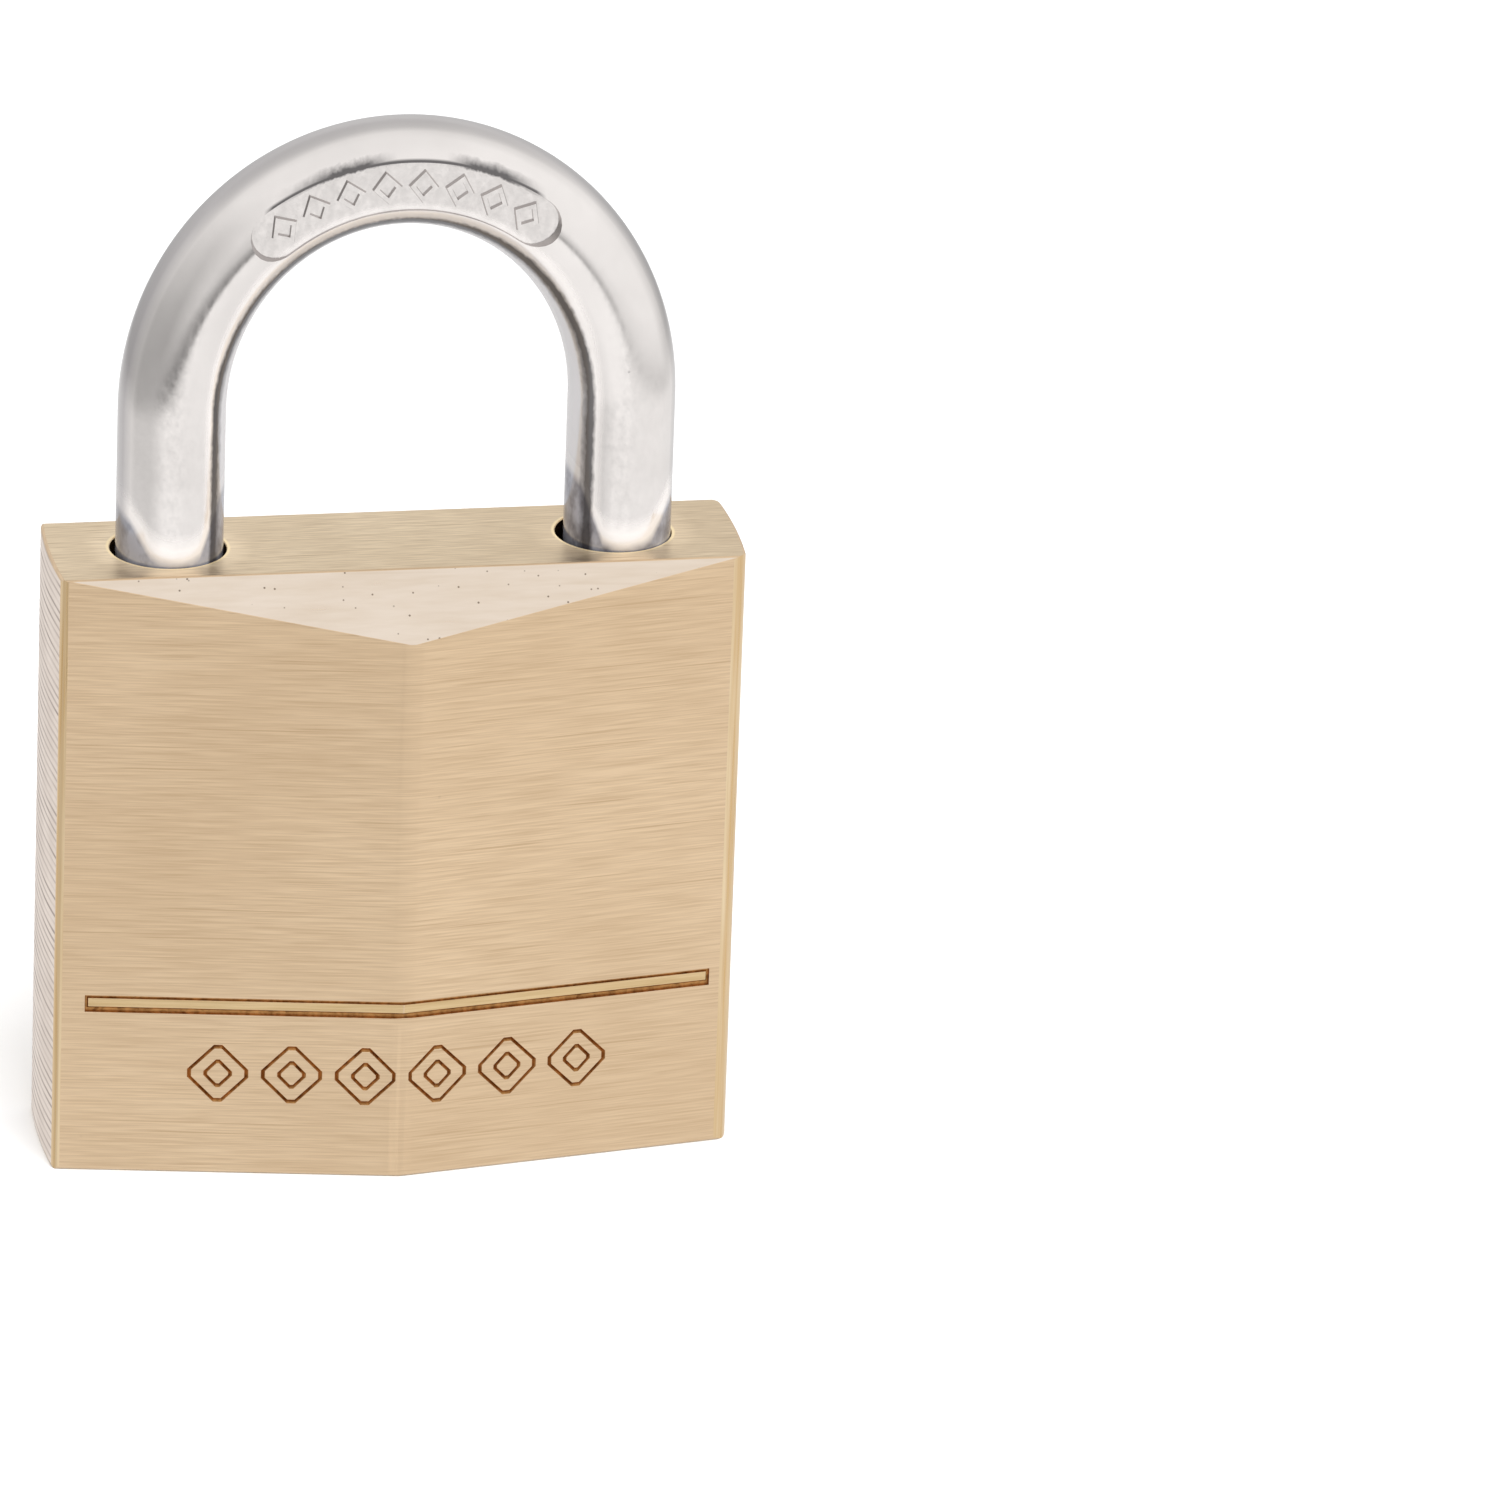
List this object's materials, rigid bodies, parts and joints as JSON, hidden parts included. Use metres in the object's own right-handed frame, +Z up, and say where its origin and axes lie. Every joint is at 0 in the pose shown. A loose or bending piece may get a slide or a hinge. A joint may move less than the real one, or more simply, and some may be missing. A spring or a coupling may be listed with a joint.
{
  "type": "pin tumbler padlock",
  "caption": "Solid brass padlock with a hexagonal body, bevelled top, round steel shackle with a recessed crown panel, and a keyed cylinder underneath.",
  "frame": {"origin": "middle of the base, at the foot of the closed padlock's bounding box", "axes": "+Z up towards the shackle, +X from the captive heel leg to the toe leg, -Y out of the front crest"},
  "size_m": [0.04, 0.0154, 0.0623],
  "materials": {
    "brushed_brass": "fine horizontal satin brushing",
    "cylinder_brass": "turned",
    "pin_brass": "turned",
    "plated_steel": "polished nickel plating",
    "bolt_steel": "machined",
    "spring_steel": "drawn wire",
    "nickel_silver": "turned nickel silver"
  },
  "bodies": {
    "case": {"lock_body": "brushed_brass", "shackle_spring": "spring_steel", "shackle_retainer_pin": "bolt_steel", "plug_retainer_pin": "bolt_steel", "front_bolt_spring": "spring_steel", "back_bolt_spring": "spring_steel", "pin_spring_1": "spring_steel", "pin_spring_2": "spring_steel", "pin_spring_3": "spring_steel", "pin_spring_4": "spring_steel", "chamber_cap_1": "brushed_brass", "chamber_cap_2": "brushed_brass", "chamber_cap_3": "brushed_brass", "chamber_cap_4": "brushed_brass", "chamber_cap_5": "brushed_brass"},
    "shackle": {"shackle": "plated_steel"},
    "plug": {"cylinder_plug": "cylinder_brass", "drive_plate": "bolt_steel"},
    "toe_bolt": {"toe_bolt": "bolt_steel"},
    "heel_bolt": {"heel_bolt": "bolt_steel"},
    "key_pin_1": {"key_pin_1": "pin_brass"},
    "key_pin_2": {"key_pin_2": "pin_brass"},
    "key_pin_3": {"key_pin_3": "pin_brass"},
    "key_pin_4": {"key_pin_4": "pin_brass"},
    "driver_pin_1": {"driver_pin_1": "nickel_silver"},
    "driver_pin_2": {"driver_pin_2": "nickel_silver"},
    "driver_pin_3": {"driver_pin_3": "nickel_silver"},
    "driver_pin_4": {"driver_pin_4": "nickel_silver"}
  },
  "joints": [
    {"name": "shackle_lift", "type": "slide", "parent": "case", "child": "shackle", "axis": [0, 0, 1], "range_m": [0, 0.0125], "deforming": ["shackle_spring"]},
    {"name": "plug_turn", "type": "hinge", "parent": "case", "child": "plug", "pos_m": [0, 0, 0], "axis": [0, 0, -1], "range_deg": [0, 90]},
    {"name": "toe_bolt_slide", "type": "slide", "parent": "case", "child": "toe_bolt", "axis": [1, 0, 0], "range_m": [0, 0.0016], "deforming": ["front_bolt_spring"]},
    {"name": "heel_bolt_slide", "type": "slide", "parent": "case", "child": "heel_bolt", "axis": [-1, 0, 0], "range_m": [0, 0.0016], "deforming": ["back_bolt_spring"]},
    {"name": "key_pin_1_slide", "type": "slide", "parent": "plug", "child": "key_pin_1", "axis": [0, -1, 0], "range_m": [0, 0.0021]},
    {"name": "key_pin_2_slide", "type": "slide", "parent": "plug", "child": "key_pin_2", "axis": [0, -1, 0], "range_m": [0, 0.0013]},
    {"name": "key_pin_3_slide", "type": "slide", "parent": "plug", "child": "key_pin_3", "axis": [0, -1, 0], "range_m": [0, 0.0027]},
    {"name": "key_pin_4_slide", "type": "slide", "parent": "plug", "child": "key_pin_4", "axis": [0, -1, 0], "range_m": [0, 0.0018]},
    {"name": "driver_pin_1_slide", "type": "slide", "parent": "case", "child": "driver_pin_1", "axis": [1, 0, 0], "range_m": [0, 0.002], "stiffness_N_per_m": 100, "springref_m": -0.002, "deforming": ["pin_spring_1"]},
    {"name": "driver_pin_2_slide", "type": "slide", "parent": "case", "child": "driver_pin_2", "axis": [1, 0, 0], "range_m": [0, 0.002], "stiffness_N_per_m": 100, "springref_m": -0.002, "deforming": ["pin_spring_2"]},
    {"name": "driver_pin_3_slide", "type": "slide", "parent": "case", "child": "driver_pin_3", "axis": [1, 0, 0], "range_m": [0, 0.002], "stiffness_N_per_m": 100, "springref_m": -0.002, "deforming": ["pin_spring_3"]},
    {"name": "driver_pin_4_slide", "type": "slide", "parent": "case", "child": "driver_pin_4", "axis": [1, 0, 0], "range_m": [0, 0.002], "stiffness_N_per_m": 100, "springref_m": -0.002, "deforming": ["pin_spring_4"]}
  ],
  "couplings": [
    {"joint": "toe_bolt_slide", "follows": "plug_turn", "m_per_rad": 0.0010186},
    {"joint": "heel_bolt_slide", "follows": "plug_turn", "m_per_rad": 0.0010186}
  ]
}
